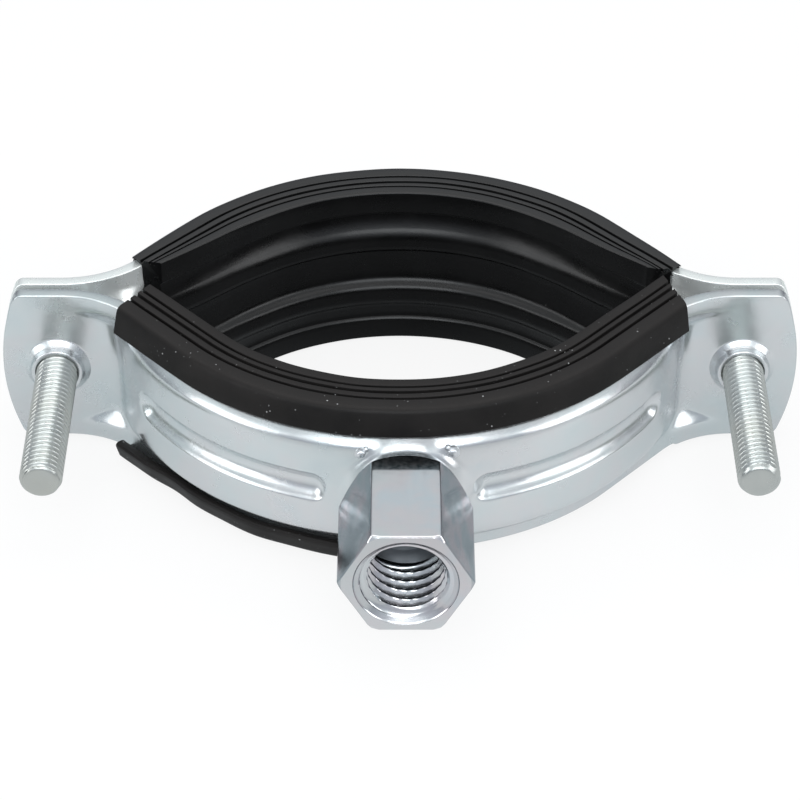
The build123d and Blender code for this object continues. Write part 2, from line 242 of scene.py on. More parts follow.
def strap_side(trim, ear_n=46, bend_n=44, run_n=50, ring_n=116, end_n=5):
    """Stations of the right-hand side of a front half, from the ear's end to the middle."""
    across, inset, depth, outer = strip_loop().T
    outer = outer > 0
    band_leave = math.acos((RING_Y - EAR_FRONT + BAND_BEND) / (BAND_R + BAND_BEND))
    # the joggle's corners are rounded over the knee, and what spills past its ends is cut off
    knee, spill = 0.5, 0.012
    corner_z = STRIP_HALF - EAR_CORNER
    stations = []
    steps = [("ear", (i - end_n) / ear_n) for i in range(end_n + ear_n)]
    steps += [("bend", i / bend_n) for i in range(bend_n)]
    steps += [("straight", i / run_n) for i in range(run_n)]
    steps += [("ring", i / (ring_n - 1)) for i in range(ring_n)]
    for piece, t in steps:
        edge_x = float(path_point(piece, t, 0.0, EDGE_R, EDGE_BEND, EDGE_LEAVE)[0])
        edge_drop = 0.0 if piece == "ear" else EDGE_TRIM / (1 + math.exp(-(trim - edge_x) / 0.1))
        end_in, end_back = 0.0, END_BREAK
        if t < 0:
            a = (t * ear_n + end_n) / end_n * math.pi / 2
            end_in, end_back = END_BREAK * (1 - math.sin(a)), END_BREAK * (1 - math.cos(a))
        z = across * (STRIP_HALF - edge_drop - end_in - inset)
        az = np.abs(z)
        w = smooth_ramp(az - JOGGLE[0], knee) - smooth_ramp(az - JOGGLE[1], knee)
        w = np.clip((w / (JOGGLE[1] - JOGGLE[0]) - spill) / (1 - 2 * spill), 0, 1)
        d = np.clip(depth, end_in, STEEL - end_in)
        angle = path_point(piece, t, d, BAND_R, BAND_BEND, band_leave)[2]
        beyond = max(GROOVE_SPAN[0] - angle, 0) + max(angle - GROOVE_SPAN[1], 0)
        dist = np.sqrt(z * z + (beyond * BAND_R) ** 2)
        press = np.where(az < GROOVE_FADE, groove_press(dist, outer), 0) if angle < math.pi / 2 else 0
        band = path_point(piece, t, d + press, BAND_R, BAND_BEND, band_leave)
        edge = path_point(piece, t, d, EDGE_R, EDGE_BEND, EDGE_LEAVE)
        x = band[0] + (edge[0] - band[0]) * w
        y = band[1] + (edge[1] - band[1]) * w
        if piece == "ear":
            past = np.maximum(az - corner_z, 0)
            corner = EAR_CORNER - np.sqrt(np.maximum(EAR_CORNER**2 - past**2, 0))
            x_end = EAR_REACH - EAR_END_R + np.sqrt(EAR_END_R**2 - az**2) - corner - end_back
            x = x_end + (x - x_end) * max(t, 0)
        stations.append(np.stack([x, y, z], -1))
    return np.array(stations)


def strap_part(trims, back):
    """A whole half strap. The back one is mirrored and has no seat."""
    left, right = (strap_side(trim) for trim in trims)
    left[..., 0] *= -1
    pts = np.concatenate([left, right[::-1][1:]])
    if back:
        pts[..., 1] *= -1
    else:
        x, y, z = np.moveaxis(pts, -1, 0)
        seat = SEAT_Y + SEAT_SLOPE * smooth_ramp(np.hypot(x - NUT_X, z) - SEAT_R, 0.5)
        seat += 0.05 * value_noise(21, x / 2.2, 0.0, z / 2.2)
        pts[..., 1] = np.where(strip_loop()[:, 3] > 0, soft_min(y, seat, 0.1), y)
    stations, loop = pts.shape[:2]
    verts = pts.reshape(-1, 3)
    faces = tube_faces(stations, loop)
    for base in (0, (stations - 1) * loop):
        outline = [(verts[base + i][2], verts[base + i][1]) for i in range(loop)]
        faces += cap_faces(outline, base, base > 0)
    if back:
        faces = [f[::-1] for f in faces]
    return verts, faces


def cut_holes(obj, radius, y0, y1):
    """Bores a round hole through each ear, from y0 to y1."""
    for side in (-1, 1):
        bpy.ops.mesh.primitive_cylinder_add(
            vertices=72,
            radius=radius * MM,
            depth=(y1 - y0) * MM,
            location=(side * SCREW_X * MM, (y0 + y1) / 2 * MM, 0),
            rotation=(math.pi / 2, 0, 0),
        )
        cutter = bpy.context.object
        cut = obj.modifiers.new("hole", "BOOLEAN")
        cut.operation, cut.solver, cut.object = "DIFFERENCE", "EXACT", cutter
        bpy.context.view_layer.objects.active = obj
        bpy.ops.object.modifier_apply(modifier=cut.name)
        bpy.data.objects.remove(cutter)
    finish_shading(obj)


# ---- rubber liner -------------------------------------------------------------------
LINER_MID = 30.0  # radius along which the liner's length is counted
EDGE_GROOVES = ((28.45, 28.8), (29.35, 29.85), (30.6, 31.0))  # inner, middle and outer
WEB_UNDER = 9.63  # height of the lip's web over the strip's edge
LIP_Z = 6.5  # height above which a point belongs to a lip


def liner_half_section(style):
    """Half a liner section as (radius, z) points, from its hollow out to the pad's back."""
    tucked = style == "tucked"
    top = LINER_TOP - 0.1 if tucked else LINER_TOP
    rib_r, rib_z, crest = 26.46, 4.0, 2.4
    p = [(27.8, 0, 0), (27.74, 1.0, 1.0), (27.56, 1.95, 0.1), (27.3, 2.3, 0.25)]
    p += [(26.62, 2.78, 0.3), (rib_r, 3.3, 0.3)]
    for a in np.linspace(0, 0.75, 8):
        p.append((rib_r + crest * (1 - math.cos(a)), rib_z + crest * math.sin(a), 0))
    p += [(27.62, 7.6, 0.25), (LAND_R, 7.95, 0.15), (LAND_R, top, 0.22)]
    bottom, lean = top - 0.45, 0.06
    for a, b in EDGE_GROOVES[:2] if tucked else EDGE_GROOVES:
        p += [(a, top, 0.1), (a + lean, bottom, 0.08), (b - lean, bottom, 0.08), (b, top, 0.1)]
    if tucked:
        p += [(PAD_BACK, top, 0.5)]
    elif style == "loose":
        p += [(33.2, 10.5, 0.7), (34.05, 7.9, 0.3), (32.75, 8.15, 0.2), (32.7, 9.6, 0.2)]
        p += [(PAD_BACK, WEB_UNDER, 0)]
    else:
        p += [(32.95, top, 0.8), (LIP_R, 7.4, 0.22), (33.0, 7.5, 0.1), (32.36, 7.96, 0.1)]
        p += [(32.36, WEB_UNDER, 0.1), (PAD_BACK, WEB_UNDER, 0)]
    return rounded_polygon(p + [(PAD_BACK, 0, 0)])


def liner_section(upper, low):
    """A whole section: the upper half, and the lower one turned over."""
    return np.concatenate([upper, (low * [1, -1])[::-1][1:-1]])


def liner_part(ends, lower, shift, back):
    """A liner swept round the ring and straight on.

    ends gives each end's run by radius, and shift moves a section's points by how far along
    the liner and along the run they are.
    """
    upper = liner_half_section("snapped")
    sections = [liner_section(upper, resample(liner_half_section(s), len(upper))) for s in lower]
    run_n, ring_n = 70, 190
    stations = []
    path = [("left", 1 - i / run_n) for i in range(run_n)]
    path += [("ring", -1 + 2 * i / (ring_n - 1)) for i in range(ring_n)]
    path += [("right", (i + 1) / run_n) for i in range(run_n)]
    for kind, t in path:
        which = 0 if kind == "left" or (kind == "ring" and t < 0) else 1
        side = (-1, 1)[which]
        r, z = sections[which].T
        angle = EDGE_LEAVE * (t if kind == "ring" else side)
        run = 0 * r if kind == "ring" else t * ends[which](r, z)
        r, z = shift(r, z, side * run + angle * LINER_MID, run)
        x = r * np.sin(angle) + side * run * np.cos(angle)
        y = RING_Y - r * np.cos(angle) + side * run * np.sin(angle)
        stations.append(np.stack([x, y, z], -1))
    pts = np.array(stations)
    if back:
        pts[..., 1] *= -1
    n, loop = pts.shape[:2]
    faces = tube_faces(n, loop)
    for section, base in zip(sections, (0, (n - 1) * loop)):
        faces += cap_faces(section, base, base == 0)
    if not back:
        faces = [f[::-1] for f in faces]
    return pts.reshape(-1, 3), faces


# ---- threads, screws and nut --------------------------------------------------------
def thread_depth(phase, depth):
    """Depth below the crest of a rolled 60 degree thread, for a phase of 0 to 1 in a pitch."""
    crest, flank = 0.16, 0.62
    p = np.abs((phase % 1.0) - 0.5) * 2
    return depth * np.clip((p - crest) / flank, 0, 1)


def hexagon(angles, half_flats):
    """Radius of a hexagon, half_flats from its middle to its flats, at each angle."""
    return half_flats / np.cos(angles % (np.pi / 3) - np.pi / 6)


def polar_part(rows, x0, angles):
    """Rings of points about an axis along Y at x0. A row is (radius, y), the same or by angle."""
    pts = []
    for row in rows:
        r, y = (np.broadcast_to(value, angles.shape) for value in row)
        pts.append(np.stack([x0 + r * np.cos(angles), y, r * np.sin(angles)], -1))
    return np.array(pts).reshape(-1, 3), tube_faces(len(rows), len(angles))


def screw_part(x0, start):
    """Threaded shank and flanged head of a clamping screw, its tip toward -Y."""
    a = np.linspace(0, 2 * np.pi, 80, endpoint=False)
    tip, thread_end, under, flange, head = -24.1, 1.9, 2.0, 2.8, 6.0
    pitch, deep, half_flats, corner = 0.8, 0.44, 4.0, 4.52
    rows = [(0.0, tip + 0.06), (0.6, tip + 0.05), (1.2, tip + 0.02)]
    rows += [(1.6, tip), (1.82, tip), (1.9, tip + 0.04)]
    for y in np.arange(tip + 0.16, thread_end, pitch / 12):
        phase = (y - tip) / pitch + a / (2 * np.pi) + start
        lead = 1.92 + 0.8 * (y - tip)
        r = np.minimum(THREAD_R - thread_depth(phase, deep), lead)
        # the thread runs out toward the head
        fade = np.clip(y - (thread_end - 1.2), 0, 1)
        rows.append((r * (1 - fade) + THREAD_R * fade, y))
    rows += [(THREAD_R, under), (THREAD_R + 0.15, under)]
    flange_r, edge = 5.2, 0.25
    for turn in np.linspace(0, math.pi / 2, 4):
        rows.append((flange_r - edge * (1 - math.sin(turn)), under + edge * (1 - math.cos(turn))))
    rows += [(flange_r, under + 0.55), (flange_r - 0.08, under + 0.7), (flange_r - 0.25, flange)]
    side = np.minimum(hexagon(a, half_flats), corner)
    rows += [(side + 0.18, flange + 0.02), (side, flange + 0.2)]
    for y in np.linspace(flange + 0.2, head - 0.1, 8)[1:]:
        cone = 4.6 - 1.9 * max(0.0, y - (head - 0.55))
        rows.append((np.minimum(side, cone), y))
    rows += [(3.55, head), (3.4, head)]
    # the cross recess: four arms that narrow toward its floor
    in_arm = np.maximum(np.abs(np.cos(a)), np.abs(np.sin(a))) > 0.96
    cross = np.where(in_arm, 2.1, 0.85)
    rows += [(np.minimum(cross + 0.12, 2.2), head), (cross, head - 0.12)]
    rows += [(cross * 0.8, head - 1.2), (0.0, head - 1.8)]
    return polar_part(rows, x0, a)


def nut_parts():
    """The nut's outside and stepped threaded bore, and the disc that closes its back."""
    a = np.linspace(0, 2 * np.pi, 216, endpoint=False)
    # crowd the angles toward the six corners
    a = a - 0.45 * np.sin(6 * a) / 6
    half_flats, corner = 6.5, 7.46
    side = soft_min(hexagon(a, half_flats), corner, 0.06)
    back, mouth = SEAT_Y, SEAT_Y - NUT_LENGTH
    root_r, root_top_r, root_height = 6.0, 7.505, 1.76
    face_r, rim_break, mouth_r = 7.0, 0.12, 5.75
    rows = []
    for y in np.linspace(back, back - 2.3, 18):
        cone = root_r + (root_top_r - root_r) / root_height * (back - y)
        rows.append((soft_min(side, cone, 0.05), y))
    for y in np.linspace(back - 2.4, mouth + 0.75, 22):
        rows.append((side, y))
    for up in np.linspace(0.7, 0, 8):
        cone = np.minimum(face_r + up * 1.3, side - rim_break + up * 1.2)
        rows.append((soft_min(side, cone, 0.03), mouth + up))
    rim = np.minimum(face_r, side - rim_break)
    rows += [(rim - 0.04, mouth), (0.5 * (rim + mouth_r), mouth), (mouth_r + 0.04, mouth), (mouth_r, mouth)]
    for t in np.linspace(0, 1, 5):
        rows.append((mouth_r - 0.04 - 0.66 * t, mouth + 0.10 + 0.44 * t))

    def thread(y, pitch, wall, deep, y0, y1):
        """Radius of a female thread that fades out at y0 and y1."""
        phase = (y - mouth) / pitch + a / (2 * np.pi)
        p = np.abs((phase % 1.0) - 0.5) * 2
        ridge = deep * np.clip((0.88 - p) / 0.66, 0, 1)
        ends = np.clip((y - y0) / (0.5 * pitch), 0, 1) * np.clip((y1 - y) / (0.5 * pitch), 0, 1)
        return wall - ridge * ends

    # the M10 thread, the relief behind it, its shoulder and the M8 thread
    large_end, bore_end = mouth + 8.6, back - 0.25
    for y in np.linspace(mouth + 0.6, large_end, 128):
        rows.append((thread(y, 1.5, 5.05, 0.86, mouth + 0.35, large_end + 0.4), y))
    rows += [(5.25, large_end + 0.25), (5.25, large_end + 1.3)]
    rows += [(4.8, large_end + 1.65), (4.1, large_end + 2.0)]
    for y in np.linspace(large_end + 2.05, bore_end, 70):
        rows.append((thread(y, 1.25, 4.05, 0.7, large_end + 1.9, back + 1.0), y))
    rows += [(2.0, bore_end), (0.0, bore_end)]
    closing = [(0.0, back), (3.0, back), (root_r, back)]
    return polar_part(rows, NUT_X, a), polar_part(closing, NUT_X, a)


# ---- how the liners' ends and edges vary along their length ---------------------------
def liner_end(at_land, at_lip, limit, width=60.0):
    """Length of the run, for an end cut on a line and kept short of a plane and of a width."""

    def run(r, z):
        slant = at_land + (at_lip - at_land) * (r - LAND_R) / (LIP_R - LAND_R)
        reach = (limit - RING_Y + r * math.cos(EDGE_LEAVE)) / math.sin(EDGE_LEAVE)
        wide = (width - (r - 0.5) * math.sin(EDGE_LEAVE)) / math.cos(EDGE_LEAVE)
        return np.minimum(np.minimum(slant, reach), np.where(z > LIP_Z, wide, slant))

    return run


def front_shift(r, z, along, _run):
    """Slight waves in the upper lip, and the lower lip sprung loose left of the nut."""
    lip = soft_step((r - 31.8) / 1.5)
    top = soft_step((z - LIP_Z) / 2)
    low = soft_step((-z - LIP_Z) / 1.5)
    r = r + lip * top * (0.10 * value_noise(3, along / 7.0) + 0.05 * value_noise(4, along / 2.1))
    z = z - top * 0.05 * (1 + value_noise(5, along / 5.0, r / 2.0))
    loose = low * lip * (along < 0)
    r = r + loose * (0.6 * soft_step((-along - 24) / 13) + 0.12 * value_noise(6, along / 4.0))
    z = z - loose * 0.12 * value_noise(7, along / 5.0)
    return r, z


def back_shift(r, z, along, run):
    """Slight waves in the lips, and the land drawn out so that the face narrows toward its ends."""
    lip = soft_step((r - 31.2) / 2.0)
    edge = soft_step((np.abs(z) - LIP_Z) / 2)
    narrow = np.clip((np.abs(along) - 19.0) / 16.0, 0, 1.05) ** 1.5
    r = r + 0.55 * np.maximum(LINER_MID - r, 0) * narrow
    r = r + lip * edge * (0.06 * value_noise(13, along / 6.0, np.sign(z)) - 0.55 * (run / 11.5) ** 2)
    z = z - np.sign(z) * edge * 0.04 * (1 + value_noise(15, along / 5.0, r / 2.0))
    return r, z


# ---- procedural materials -----------------------------------------------------------
def new_material(name):
    mat = bpy.data.materials.new(name)
    mat.use_nodes = True
    nodes, links = mat.node_tree.nodes, mat.node_tree.links
    shader = nodes["Principled BSDF"]
    coords = nodes.new("ShaderNodeTexCoord")
    return mat, nodes, links, shader, coords.outputs["Object"]


def noise_node(nodes, links, coords, scale, detail=3.0, roughness=0.5, stretch=None):
    if stretch is not None:
        mapping = nodes.new("ShaderNodeMapping")
        mapping.inputs["Scale"].default_value = stretch
        links.new(coords, mapping.inputs["Vector"])
        coords = mapping.outputs["Vector"]
    noise = nodes.new("ShaderNodeTexNoise")
    noise.inputs["Scale"].default_value = scale
    noise.inputs["Detail"].default_value = detail
    noise.inputs["Roughness"].default_value = roughness
    links.new(coords, noise.inputs["Vector"])
    return noise.outputs["Fac"]


def ramp_node(nodes, links, factor, stops):
    ramp = nodes.new("ShaderNodeValToRGB")
    elements = ramp.color_ramp.elements
    while len(elements) < len(stops):
        elements.new(0.5)
    for element, (place, colour) in zip(elements, stops):
        element.position = place
        element.color = (*colour, 1.0)
    links.new(factor, ramp.inputs["Fac"])
    return ramp.outputs["Color"]


def range_node(nodes, links, value, low, high, to_low, to_high):
    node = nodes.new("ShaderNodeMapRange")
    for name, v in (("From Min", low), ("From Max", high), ("To Min", to_low), ("To Max", to_high)):
        node.inputs[name].default_value = v
    links.new(value, node.inputs["Value"])
    return node.outputs["Result"]


def bump_node(nodes, links, height, strength, distance, before=None):
    bump = nodes.new("ShaderNodeBump")
    bump.inputs["Strength"].default_value = strength
    bump.inputs["Distance"].default_value = distance
    links.new(height, bump.inputs["Height"])
    if before is not None:
        links.new(before, bump.inputs["Normal"])
    return bump.outputs["Normal"]


def math_node(nodes, links, operation, *values):
    node = nodes.new("ShaderNodeMath")
    node.operation = operation
    for socket, value in zip(node.inputs, values):
        links.new(value, socket)
    return node.outputs["Value"]


def mix_node(nodes, links, factor, first, second, blend="MIX"):
    """Two colours mixed. The factor is a number or an output, a colour a tuple or an output."""
    node = nodes.new("ShaderNodeMix")
    node.data_type, node.blend_type = "RGBA", blend
    if isinstance(factor, float):
        node.inputs[0].default_value = factor
    else:
        links.new(factor, node.inputs[0])
    for socket, colour in ((node.inputs[6], first), (node.inputs[7], second)):
        if isinstance(colour, tuple):
            socket.default_value = (*colour, 1.0)
        else:
            links.new(colour, socket)
    return node.outputs[2]


def axis_node(nodes, links, vector, axis):
    split = nodes.new("ShaderNodeSeparateXYZ")
    links.new(vector, split.inputs["Vector"])
    return split.outputs[axis]


def side_mask(nodes, links, low, high):
    """1 where the surface faces left or right, 0 where it faces the front or the top."""
    normal = nodes.new("ShaderNodeNewGeometry").outputs["Normal"]
    size = math_node(nodes, links, "ABSOLUTE", axis_node(nodes, links, normal, "X"))
    return range_node(nodes, links, size, low, high, 0, 1)


def tint_ramp(places, *colours):
    """Stops of a colour ramp."""
    return list(zip(places, colours))


def zinc(name, tints, rough, grain=0.25, dents=0.25, streaks=None, metallic=1.0, painted_side_shade=None, painted_reflection_start=None):
    """Clear zinc plating: metal with faint colour films, soft dents and a fine grain.

    The optional side tints are painted shade and reflection, where the surface faces left or right;
    the optional place along Y starts a dark mottled painted reflection beyond it where it faces neither.
    """
    mat, nodes, links, shader, coords = new_material(name)
    shader.inputs["Metallic"].default_value = metallic
    film = noise_node(nodes, links, coords, 95.0, 4.0, 0.6)
    colour = ramp_node(nodes, links, film, tints)
    # painted shade and reflection: other, darker tints where the surface faces left or right
    if painted_side_shade is not None:
        streak = noise_node(nodes, links, coords, 210.0, 3.0, 0.6, (1.0, 0.45, 1.0))
        painted_side_colour = ramp_node(nodes, links, streak, painted_side_shade)
        colour = mix_node(nodes, links, side_mask(nodes, links, 0.45, 0.8), colour, painted_side_colour)
    # painted reflection: dark mottled colour beyond a place along Y, where the surface faces neither side
    if painted_reflection_start is not None:
        y = axis_node(nodes, links, coords, "Y")
        beyond = range_node(nodes, links, y, painted_reflection_start - 0.00015, painted_reflection_start + 0.00015, 0, 1)
        facing = range_node(nodes, links, side_mask(nodes, links, 0.3, 0.5), 0, 1, 1, 0)
        mottle = noise_node(nodes, links, coords, 1700.0, 4.0, 0.7)
        mottle = range_node(nodes, links, mottle, 0.35, 0.62, 1.0, 0.72)
        dark = math_node(nodes, links, "MULTIPLY", beyond, facing)
        dark = math_node(nodes, links, "MULTIPLY", dark, mottle)
        colour = mix_node(nodes, links, dark, colour, (0.05, 0.07, 0.08))
    links.new(colour, shader.inputs["Base Color"])
    patch = noise_node(nodes, links, coords, 260.0, 5.0, 0.65, streaks)
    links.new(range_node(nodes, links, patch, 0.3, 0.7, *rough), shader.inputs["Roughness"])
    normal = bump_node(nodes, links, noise_node(nodes, links, coords, 330.0, 2.0), dents, 0.00012)
    fine = noise_node(nodes, links, coords, 3600.0, 3.0, 0.6, streaks)
    normal = bump_node(nodes, links, fine, grain, 0.00002, normal)
    links.new(normal, shader.inputs["Normal"])
    return mat


def rubber(name, base, rough, dust, gloss):
    """Black moulded rubber: a fine grain, greyer where it faces up, and specks of dust.

    base is the two colours of its bloom and the one on top, rough the range of its roughness,
    and dust the noise level above which specks show, so that a higher one gives fewer.
    """
    dark, light, upward_tone = base
    mat, nodes, links, shader, coords = new_material(name)
    shader.inputs["Specular IOR Level"].default_value = gloss
    bloom = noise_node(nodes, links, coords, 140.0, 5.0, 0.6)
    skin = ramp_node(nodes, links, bloom, [(0.35, dark), (0.7, light)])
    normal = nodes.new("ShaderNodeNewGeometry").outputs["Normal"]
    up = range_node(nodes, links, axis_node(nodes, links, normal, "Z"), 0.55, 0.95, 0, 1)
    skin = mix_node(nodes, links, up, skin, upward_tone)
    speck = nodes.new("ShaderNodeTexVoronoi")
    speck.inputs["Scale"].default_value = 1500.0
    speck.inputs["Randomness"].default_value = 1.0
    links.new(coords, speck.inputs["Vector"])
    near = range_node(nodes, links, speck.outputs["Distance"], 0.10, 0.16, 1.0, 0.0)
    where = noise_node(nodes, links, coords, 420.0, 6.0, 0.75)
    some = range_node(nodes, links, where, dust, dust + 0.05, 0.0, 1.0)
    specks = math_node(nodes, links, "MULTIPLY", near, some)
    skin = mix_node(nodes, links, specks, skin, (0.42, 0.42, 0.42))
    links.new(skin, shader.inputs["Base Color"])
    patch = noise_node(nodes, links, coords, 210.0, 4.0, 0.6)
    links.new(range_node(nodes, links, patch, 0.3, 0.7, *rough), shader.inputs["Roughness"])
    skin_grain = noise_node(nodes, links, coords, 900.0, 4.0, 0.6)
    normal = bump_node(nodes, links, skin_grain, 0.22, 0.00008)
    fine = noise_node(nodes, links, coords, 5200.0, 2.0, 0.5)
    normal = bump_node(nodes, links, fine, 0.25, 0.00002, normal)
    links.new(normal, shader.inputs["Normal"])
    return mat


strap_zinc = zinc(
    "strap_zinc",
    tint_ramp(
        (0.25, 0.42, 0.58, 0.8),
        (0.60, 0.67, 0.69),
        (0.66, 0.71, 0.72),
        (0.69, 0.70, 0.71),
        (0.61, 0.69, 0.72),
    ),
    (0.17, 0.30),
    metallic=0.9,
)
# painted light: a lighter, less metallic copy of the strap zinc, so the back strap's inner bends look lit
back_zinc_painted_light = zinc(
    "back_zinc_painted_light",
    tint_ramp(
        (0.25, 0.42, 0.58, 0.8),
        (0.80, 0.85, 0.85),
        (0.86, 0.90, 0.89),
        (0.88, 0.90, 0.88),
        (0.81, 0.88, 0.88),
    ),
    (0.20, 0.34),
    metallic=0.55,
)
nut_zinc = zinc(
    "nut_zinc",
    tint_ramp(
        (0.3, 0.45, 0.58, 0.75),
        (0.64, 0.71, 0.73),
        (0.71, 0.74, 0.75),
        (0.75, 0.72, 0.74),
        (0.65, 0.73, 0.78),
    ),
    (0.13, 0.26),
    grain=0.2,
    dents=0.35,
    streaks=(1.0, 0.12, 1.0),
    # darker tints on the nut's side facets, as painted shade and reflection
    painted_side_shade=tint_ramp(
        (0.3, 0.45, 0.56, 0.7),
        (0.20, 0.25, 0.28),
        (0.29, 0.34, 0.37),
        (0.40, 0.37, 0.40),
        (0.26, 0.32, 0.36),
    ),
    # toward the seat the nut's top flat carries a dark painted reflection of the rubber lip
    painted_reflection_start=(SEAT_Y - 3.3) * MM,
)
screw_zinc = zinc(
    "screw_zinc",
    tint_ramp(
        (0.3, 0.5, 0.7, 0.85),
        (0.46, 0.49, 0.48),
        (0.52, 0.54, 0.52),
        (0.52, 0.53, 0.49),
        (0.45, 0.49, 0.50),
    ),
    (0.24, 0.36),
    grain=0.06,
    dents=0.08,
)
weld_zinc = zinc(
    "weld_zinc",
    tint_ramp(
        (0.3, 0.5, 0.65, 0.85),
        (0.62, 0.65, 0.68),
        (0.80, 0.82, 0.84),
        (0.70, 0.72, 0.74),
        (0.84, 0.85, 0.86),
    ),
    (0.22, 0.45),
    grain=0.6,
    dents=0.9,
)
# painted shade: a dark, rough copy of the zinc for the far end of the nut's bore
bore_painted_shade = zinc(
    "bore_painted_shade",
    tint_ramp(
        (0.3, 0.5, 0.7, 0.85),
        (0.10, 0.11, 0.12),
        (0.16, 0.17, 0.18),
        (0.12, 0.13, 0.15),
        (0.22, 0.22, 0.23),
    ),
    (0.35, 0.55),
    grain=0.3,
    dents=0.3,
)
# painted light: the front liner's copy of the rubber is lighter than the back one's, for its lit ends
front_rubber_lit = rubber(
    "front_rubber_lit",
    base=((0.006, 0.0053, 0.0050), (0.012, 0.0104, 0.0098), (0.017, 0.0150, 0.0143)),
    rough=(0.40, 0.54),
    dust=0.55,
    gloss=0.19,
)
# painted shade: the back liner's copy of the rubber is darker, for its shaded inside
back_rubber_shaded = rubber(
    "back_rubber_shaded",
    base=((0.0022, 0.0022, 0.0023), (0.0045, 0.0044, 0.0045), (0.017, 0.0160, 0.0158)),
    rough=(0.24, 0.34),
    dust=0.66,
    gloss=0.42,
)


# ---- pieces -------------------------------------------------------------------------
def dress(obj, material, body, slot, *nodes):
    obj.data.materials.clear()
    obj.data.materials.append(material)
    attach(obj, body)
    if nodes:
        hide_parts(*nodes)


def weld_part(x, z, size, seed):
    """One frozen weld spot at the nut's foot, a lumpy low dome on the band."""
    foot = RING_Y - math.sqrt(BAND_R**2 - x * x) - 0.05
    rise, skirt, sunk = 0.62 * size, 1.35 * size, foot + 0.3
    profile = [(0.01, sunk), (0.01, foot - rise)]
    turn = np.linspace(0.1, 1, 9) * math.pi / 2
    profile += [(size * math.sin(t), foot - rise * math.cos(t)) for t in turn]
    profile += [(skirt, foot + 0.06), (skirt, sunk)]
    verts, faces = lathe(profile, (x, z), 40)
    lumps = value_noise(seed, *(verts * 1.7).T)
    return verts + 0.06 * size * lumps[:, None], faces


def collar_part(x):
    """A drawn collar of a front ear, from its bore out over the rim and its foot's sweep."""
    rim = EAR_FRONT - COLLAR_HEIGHT
    profile = rounded_polygon(
        [
            (COLLAR_BORE_R, EAR_FRONT + 0.6, 0),
            (COLLAR_BORE_R, rim, 0.12),
            (3.0, rim, 0.22),
            (3.12, EAR_FRONT - 0.6, 0.6),
            (3.83, EAR_FRONT - 0.02, 0.3),
            (4.1, EAR_FRONT + 0.02, 0),
            (3.6, EAR_FRONT + 0.6, 0),
        ],
        4,
        True,
    )
    return lathe(profile, (x, 0), 96)


front_strap = build_mesh("front_strap_pressed", [strap_part(FRONT_TRIM, back=False)])
cut_holes(front_strap, COLLAR_BORE_R, -3.0, 1.0)
dress(front_strap, strap_zinc, "front_half", "strap_steel", "front_strap")
back_strap = build_mesh("back_strap_pressed", [strap_part(BACK_TRIM, back=True)])
cut_holes(back_strap, EAR_HOLE_R, -1.0, 4.0)
dress(back_strap, back_zinc_painted_light, "back_half", "strap_steel", "back_strap")

collars = build_mesh("ear_collars", [collar_part(-SCREW_X), collar_part(SCREW_X)])
dress(collars, strap_zinc, "front_half", "strap_steel")
# each spot's x, z, radius and noise seed
weld_spots = [(-4.3, 5.55, 0.5, 31), (5.8, 5.6, 0.58, 32), (-3.75, 6.15, 0.24, 33), (5.3, 6.2, 0.28, 34)]
weld = build_mesh("seat_weld", [weld_part(*spot) for spot in weld_spots])
dress(weld, weld_zinc, "front_half", "nut_steel")

# left and right ends
front_ends = (liner_end(13.1, 11.7, 0.08), liner_end(15.6, 12.2, 1.44))
front_part = liner_part(front_ends, ("loose", "tucked"), front_shift, back=False)
front_liner = build_mesh("front_liner_rubber", [front_part])
dress(front_liner, front_rubber_lit, "front_half", "liner_rubber", "front_liner")
back_ends = (liner_end(9.9, 12.0, -0.47, 31.35), liner_end(11.6, 14.4, -1.83, 32.85))
back_part = liner_part(back_ends, ("snapped", "snapped"), back_shift, back=True)
back_liner = build_mesh("back_liner_rubber", [back_part])
dress(back_liner, back_rubber_shaded, "back_half", "liner_rubber", "back_liner")

nut = build_mesh("connection_nut_drawn", nut_parts(), 35)
dress(nut, nut_zinc, "front_half", "nut_steel", "connection_nut")
# painted shade: the far end of the bore takes a dark material
SHADED_BORE_Y, SHADED_BORE_R = SEAT_Y - 5.6, 5.3
nut.data.materials.append(bore_painted_shade)
for face in nut.data.polygons:
    place = face.center / MM
    if place.y > SHADED_BORE_Y and math.hypot(place.x - NUT_X, place.z) < SHADED_BORE_R:
        face.material_index = 1

left_screw = build_mesh("left_screw_threaded", [screw_part(-SCREW_X, 0.3)], 50)
dress(left_screw, screw_zinc, "left_screw", "screw_steel", "left_screw")
right_screw = build_mesh("right_screw_threaded", [screw_part(SCREW_X, 0.8)], 50)
dress(right_screw, screw_zinc, "right_screw", "screw_steel", "right_screw")


# ---- floor, light and camera --------------------------------------------------------
def white_if_seen(nodes, links, seen_share, mirrored_share=0.0):
    """Factor for rays from the camera, another for mirrored rays, and 0 for the rest."""
    path = nodes.new("ShaderNodeLightPath")
    seen = range_node(nodes, links, path.outputs["Is Camera Ray"], 0, 1, 0, seen_share)
    mirrored = range_node(nodes, links, path.outputs["Is Glossy Ray"], 0, 1, 0, mirrored_share)
    return math_node(nodes, links, "ADD", seen, mirrored)


def blend_shaders(nodes, links, factor, first, second):
    node = nodes.new("ShaderNodeMixShader")
    for socket, output in zip(node.inputs, (factor, first, second)):
        links.new(output, socket)
    return node.outputs["Shader"]


